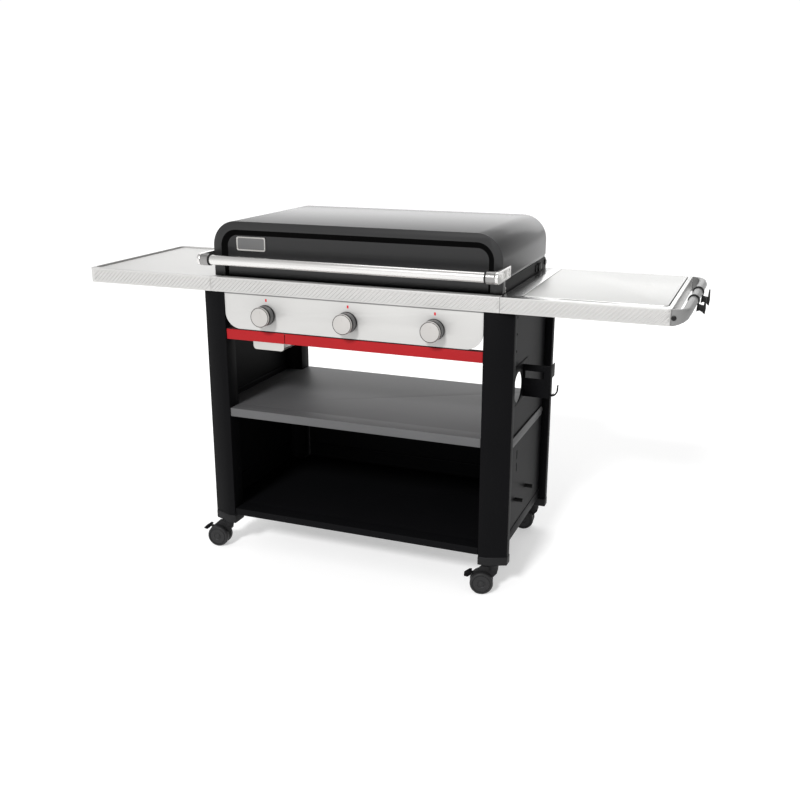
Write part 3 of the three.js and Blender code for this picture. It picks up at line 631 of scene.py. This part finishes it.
for i, x in enumerate(KNOB_X, 1):
    disc = turned(f"knob_disc_{i}", "y", x, KNOB_Z, [
        (0, -36), (31.4, -36), (32, -36.6), (32, -40), (31.2, -41.4), (29.6, -42), (0, -42)])
    pointer = slab("pointer", "y", [
        (x - 1.6, 842), (x + 1.6, 842), (x + 1.6, 852), (x - 1.6, 852)], -41.5, -42.7)
    weld(f"knob_disc_{i}", disc, soften(pointer, 0.5))
    settle(disc, f"dial_{i}", knob_satin, "silver_paint", f"knob_{i}")
    skirt = turned(f"knob_skirt_{i}", "y", x, KNOB_Z, [
        (0, -7), (31, -7), (31.5, -7.6), (31.5, -25.4), (31, -26), (0, -26)], 96)
    settle(skirt, f"dial_{i}", skirt_metal, "silver_paint")
    # The black core shows as the groove between skirt and disc and as a ring at the panel: painted
    # shade.
    core = turned(f"knob_groove_{i}", "y", x, KNOB_Z, [
        (0, -1.2), (32, -1.2), (32.4, -1.8), (32.4, -6.6), (32, -7.2), (30.6, -7.4), (30.6, -35.9),
        (0, -35.9)])
    settle(core, f"dial_{i}", black_rings_and_painted_shade, "black_rubber")
    ring = turned(f"knob_ring_{i}", "y", x, KNOB_Z, [
        (29, -41.6), (29, -42.2), (30.6, -42.2), (30.6, -41.6)])
    settle(ring, f"dial_{i}", black_rings_and_painted_shade, "silver_paint")
    mark = slab(f"off_mark_{i}", "y", [
        (x - 2.8, 873), (x + 2.8, 873), (x + 2.8, 882), (x - 2.8, 882)], 4.5, 3.6)
    settle(soften(mark, 0.3, 1), "cart", mark_red, "red_paint")

# ---- Red trim, grease drawer and pan ------------------------------------------------------------
# A red powder coated channel under the control panel. Its left end is the front of the grease
# drawer, with a pressed stainless pan behind it that hangs by its lips in a black cradle.
trim = slab("red_channel", "x", folded([(30, 775), (5, 775), (5, 742), (40, 742)], 2), -218.5, 428)
settle(soften(trim, 1.1, 3), "cart", red_coat, "red_paint", "red_trim")
pull = slab("drawer_pull", "x", folded([(24, 775), (5, 775), (5, 742), (24, 742)], 2), -428, -220.5)
settle(soften(pull, 1.1, 3), "drawer", red_coat, "red_paint", "drawer_front")
joint = slab("trim_joint", "y", [
    (-226, 744.8), (-213, 744.8), (-213, 772.2), (-226, 772.2)], 8, 9.5)
settle(soften(joint, 0.4, 1), "cart", black_coat, "black_paint")
# Black strips behind the joints above the red channel and the drawer front: painted shade in the
# gaps, not real seals.
for name, body, x0, x1 in (("trim_gap_shade", "cart", -218, 427), ("drawer_gap_shade", "drawer", -427, -221)):
    gap_shade_strip = slab(name, "y", [(x0, 775.2), (x1, 775.2), (x1, 777.9), (x0, 777.9)], 7.4, 9)
    settle(soften(gap_shade_strip, 0.4, 1), body, black_rings_and_painted_shade, "black_rubber")


def pan_line(lip):
    """The pan's section: an open U with round lower corners, drawn in by the given lip."""
    x0, x1, z0, r = -343 + lip, -233 - lip, 712 + lip, 12 - lip
    return [(x1, 778 + 2 * lip), (x0, 778 + 2 * lip)] + bend(x0 + r, z0 + r, r, 180, 270) + bend(
        x1 - r, z0 + r, r, 270, 360)


pan = slab("drip_pan", "y", pan_line(0), 24.3, 250)
cut(pan, slab("inside", "y", pan_line(1.5), 25.8, 248.5))
lips = [slab("lip", "y", [(x, 776.5), (x + 8, 776.5), (x + 8, 778), (x, 778)], 24.3, 250)
        for x in (-350, -234)]
weld("drip_pan", soften(pan, 0.6), *lips)
settle(pan, "drawer", brushed_steel, "stainless", "grease_pan")

# ---- Gas bottle bracket and pegs ----------------------------------------------------------------
# A folded black bracket screwed round the hose hole, with a window, a flanged end and an up-turned
# hook for the bottle's collar, and two rubber pegs lower down that the bottle leans on.
collar = slab("bottle_bracket", "y", [
    (491, 586), (580.5, 586), (580.5, 690), (491, 690)], 235, 237.5)
cut(collar, slab("window", "y", [(500, 646), (558, 646), (558, 669), (500, 669)], 230, 245))
end_plate = slab("end", "x", [(236, 586), (289, 586), (289, 690), (236, 690)], 578, 580.5)
cut(end_plate, slab("end window", "x", [(259, 590), (291, 590), (291, 648), (259, 648)], 570, 590))
base_plate = slab("base", "x", [(126, 574), (295, 574), (295, 700), (126, 700)], 490.3, 492.3)
cut(base_plate, drum("hose", "x", HOSE_Y, HOSE_Z, 48, 480, 500, 64))
collar_hook = slab("hook", "y", [
    (579, 592), (588, 592), (596, 597), (601.5, 608), (602, 629), (599.5, 629), (598, 610),
    (593.5, 601), (587, 596), (579, 596)], 243, 255)
weld("bottle_bracket", *[
    soften(part, 0.8) for part in (collar, end_plate, base_plate, collar_hook)])
settle(collar, "cart", black_coat, "black_paint", "tank_bracket")
for i, y in enumerate((201, 332), 1):
    peg = turned(f"rubber_peg_{i}", "x", y, 248.5, [
        (0, 490.3), (6.5, 490.3), (6.5, 512), (6.1, 514), (5, 515.6), (0, 516)], 32)
    settle(peg, "cart", rubber, "black_rubber", f"tank_peg_{i}")

# ---- Hood ---------------------------------------------------------------------------------------
# A deep-drawn enamelled steel hood: an arched front with a sunk panel and a sloped wall round it,
# painted matt black as painted shade, a rounded back edge, short sides above the cookbox cheeks,
# and welded ears that turn on the hinge pins.
PIVOT_Y, PIVOT_Z = 560, 960
enamel = surface("black hood enamel", (0.0035, 0.0035, 0.004), 0.36, specular=0.4, grain=1800,
                 tooth=0.12, coat=0.25)


def arch(half, top, low, radius, foot=0):
    """The hood's front outline, which may draw in by a foot at its lower ends."""
    return [(-half + foot, low), (half - foot, low), (half - foot, 978), (half, 990)] + bend(
        half - radius, top - radius, radius, 0, 90, 24) + bend(
        -half + radius, top - radius, radius, 90, 180, 24) + [(-half, 990), (-half + foot, 978)]


def round_back(piece, y, width):
    """Rounds the edge where a hood shape's top and sides meet its back."""
    take(piece)
    bpy.ops.object.mode_set(mode="EDIT")
    bpy.ops.mesh.select_all(action="DESELECT")
    bpy.ops.mesh.select_mode(type="EDGE")
    bpy.ops.object.mode_set(mode="OBJECT")
    back = spot(0, y, 0).y
    for edge in piece.data.edges:
        ends = [piece.data.vertices[i].co for i in edge.vertices]
        edge.select = all(abs(end.y - back) < 1e-5 and end.z > 0.95 for end in ends)
    bpy.ops.object.mode_set(mode="EDIT")
    bpy.ops.mesh.bevel(offset=width * MM, segments=8, affect="EDGES")
    bpy.ops.mesh.select_mode(type="VERT")
    bpy.ops.object.mode_set(mode="OBJECT")


hood = slab("hood", "y", arch(474, 1115, 943.3, 80), 31, 578)
round_back(hood, 578, 27)
hollow = slab("hollow", "y", arch(471.5, 1112.5, 930, 77.5), 43.5, 575.5)
round_back(hollow, 575.5, 24.5)
sink = loft("sink", [
    [spot(x, 29, z) for x, z in arch(450.6, 1092.4, 900, 56.6, 11)],
    [spot(x, 41, z) for x, z in arch(429, 1070.8, 900, 35, 0)]])
low_edge = slab("low edge", "x", [
    (60, 935), (600, 935), (600, 1000), (576, 994), (514, 981), (60, 981)], -500, 500)
cut(hood, sink, low_edge, hollow)
soften(hood, 1.6, 2, angle=20, smooth=26)
ears = []
for x in (-464, 464):
    ear = slab("ear", "x", bend(PIVOT_Y, PIVOT_Z, 14, 180, 330) + [
        (577, 975), (577, 1012), (546, 1012)], x - 1.8, x + 1.8)
    ears.append(cut(ear, drum("pivot", "x", PIVOT_Y, PIVOT_Z, 5.35, x - 5, x + 5)))
weld("hood", hood, *ears)
settle(hood, "lid", enamel, "lid_enamel", "lid_shell")
# The sloped wall round the sunk panel is painted near black: painted shade where the wall turns
# from the light.
painted_shade_step = surface("hood step painted shade", (0.002, 0.002, 0.002), 0.7, specular=0.02, tooth=0.1)
front, panel_back = spot(0, 32, 0).y, spot(0, 40.4, 0).y
recoat(hood, painted_shade_step,
       lambda face: front < face.center.y < panel_back and -0.97 < face.normal.y < -0.5)

# ---- Badge --------------------------------------------------------------------------------------
# A small blank plate with round corners, a polished rim and a dark sunk field, riveted to the hood.


def badge_line(inset, radius):
    """An outline with round corners, set in from the badge's edge."""
    x0, x1, z0, z1 = -389 + inset, -300 - inset, 1030 + inset, 1060.5 - inset
    return (bend(x0, z0, radius, 180, 270) + bend(x1, z0, radius, 270, 360)
            + bend(x1, z1, radius, 0, 90) + bend(x0, z1, radius, 90, 180))


field_line = badge_line(1, 5)
badge = slab("badge_plate", "y", badge_line(0, 6.5), 40.7, 37)
cut(badge, slab("field", "y", field_line, 37.8, 30))
settle(soften(badge, 0.4), "lid", brushed_steel, "stainless", "lid_badge")
field_inner = [(x + (1.5 if x < -344.5 else -1.5), z + (1.5 if z < 1045 else -1.5))
               for x, z in field_line]
# The thin ground behind the field takes the same near-black coat as the hood's painted-shade wall.
badge_ground = slab("badge_ground", "y", field_line, 39.6, 39)
settle(soften(badge_ground, 0.2, 1), "lid", painted_shade_step, "lid_enamel")
badge_field = slab("badge_field", "y", field_inner, 39.1, 37.6)
settle(soften(badge_field, 0.3, 1), "lid", skirt_metal, "stainless")

# ---- Hood handle --------------------------------------------------------------------------------
# A brushed stainless tube between two turned end caps, with a black ring at each joint, held out by
# flat stainless brackets that have two upright slots whose floors are painted dark as painted
# shade.
BAR_Y, BAR_Z = -40, 1002
bar_steel = surface("brushed handle stainless", (0.78, 0.77, 0.755), 0.24, metallic=1.0, grain=900,
                    tooth=0.1, mottle=0.03, stretch=(0.02, 1, 1))
cap_steel = surface("turned cap stainless", (0.33, 0.325, 0.32), 0.3, metallic=1.0, grain=900)
bar = turned("handle_tube", "x", BAR_Y, BAR_Z, [
    (0, -446), (14.4, -446), (15, -445.4), (15, 445.4), (14.4, 446), (0, 446)])
settle(bar, "lid", bar_steel, "stainless", "lid_handle_bar")
for side, name in ((1, "right"), (-1, "left")):
    cap = turned("handle_cap_" + name, "x", BAR_Y, BAR_Z, [
        (0, side * 447), (16.6, side * 447), (18, side * 448.4), (18, side * 472.4),
        (16.6, side * 473.8), (0, side * 473.8)])
    settle(cap, "lid", cap_steel, "stainless")
    ring = turned("handle_ring_" + name, "x", BAR_Y, BAR_Z, [
        (0, side * 442.5), (17, side * 442.5), (17.6, side * 443), (17.6, side * 447.2),
        (0, side * 447.2)])
    settle(ring, "lid", black_rings_and_painted_shade, "black_rubber")
    plate = slab("handle_plate_" + name, "x", bend(BAR_Y, BAR_Z, 18, 90, 270, 20) + [
        (78, 986), (82, 990), (82, 1016), (78, 1020)], side * 474.3, side * 484)
    for y in (8, 62):
        cut(plate, slab("slot", "x", bend(y, 1008, 4.2, 0, 180) + bend(y, 996, 4.2, 180, 360),
                        side * 479, side * 490))
    settle(soften(plate, 1.3, 3), "lid", bar_steel, "stainless", "handle_bracket_" + name)
    floor_x = spot(side * 479, 0, 0).x
    # The slot floors are painted near black as painted shade.
    recoat(plate, painted_gap_shade, lambda face: abs(face.normal.x) > 0.9
           and abs(face.center.x - floor_x) < 0.6 * MM)

# ---- Casters ------------------------------------------------------------------------------------
# Twin-wheel nylon casters: two moulded discs on one axle, a hood between them with a conical neck
# that turns under the foot, and a pedal on a pin. One is modelled and set under each corner.
AXLE_X, AXLE_Z = 36, 36.5
PIN_X, PIN_Z = 70, 66.5
caster_nylon = surface("caster nylon", (0.016, 0.016, 0.0165), 0.5, specular=0.25, grain=600,
                       tooth=0.25)
disc_line = [(0, 25), (7.5, 25), (8.5, 24.4), (9.5, 22.6), (12, 22.4), (13.5, 23.6), (26, 23.6),
             (27, 22), (28.6, 22), (29.6, 24.4), (32.6, 24.4), (35.6, 22), (36.5, 19), (36.5, 10.5),
             (35.2, 7.8), (33, 7.4), (5.3, 7.4), (5.3, 0)]
wheel = turned("caster_pair", "y", AXLE_X, AXLE_Z,
               disc_line + [(r, -y) for r, y in disc_line[-2::-1]], 56)
shroud = slab("shroud", "y", [(-16, 90), (-12, 66)] + bend(AXLE_X, AXLE_Z, 34, 160, 380, 36) + bend(
    AXLE_X, AXLE_Z, 38, 26, 48, 4) + [(34, 90)], -6.9, 6.9)
cut(shroud, drum("axle", "y", AXLE_X, AXLE_Z, 5.5, -20, 20))
pin_arm = slab("pin arm", "y", [(58, 67.5), (62, 58.5)] + bend(PIN_X, PIN_Z, 3.6, -90, 90), -3, 3)
cone = turned("cone", "z", 0, 0, [(0, 76), (15, 76), (16, 88), (19, 95), (21, 97.4), (21, 98.2),
                                  (8.6, 98.2), (8.6, 111), (0, 111)], 48)
shroud = weld("caster_shroud", soften(shroud, 1.6, 3), soften(pin_arm, 0.8),
              drum("pin", "y", PIN_X, PIN_Z, 1.8, -8, 8, 20), cone)
pedal = slab("caster_pedal", "y", [
    (66, 71.5), (69, 61.5), (74, 57.5), (80, 53.5), (90, 55.5), (91, 59.5), (73, 72.5)], -12, 12)
cut(pedal, slab("fork", "y", [(40, 40), (76, 40), (76, 90), (40, 90)], -3.5, 3.5),
    drum("pin", "y", PIN_X, PIN_Z, 2, -14, 14, 20))
soften(pedal, 1.4, 3)
for corner, x, y, yaw in (("front_left", -472, 30, 186), ("front_right", 472, 30, 196),
                          ("rear_left", -472, 553, 186), ("rear_right", 472, 553, 186)):
    turn = (Matrix.Translation(spot(x, y, 0)) @ Matrix.Rotation(math.radians(yaw), 4, "Z")
            @ Matrix.Translation(-spot(0, 0, 0)))
    for part, kind, body, coat in (
            (wheel, "wheel", "wheel_", caster_nylon), (shroud, "hood", "swivel_", nylon),
            (pedal, "brake", "brake_", black_coat)):
        placed = twin(part, f"{part.name}_{corner}", "")
        placed.data.transform(turn)
        settle(placed, body + corner, coat, "grey_plastic", f"caster_{kind}_{corner}")
for part in (wheel, shroud, pedal):
    bpy.data.objects.remove(part)
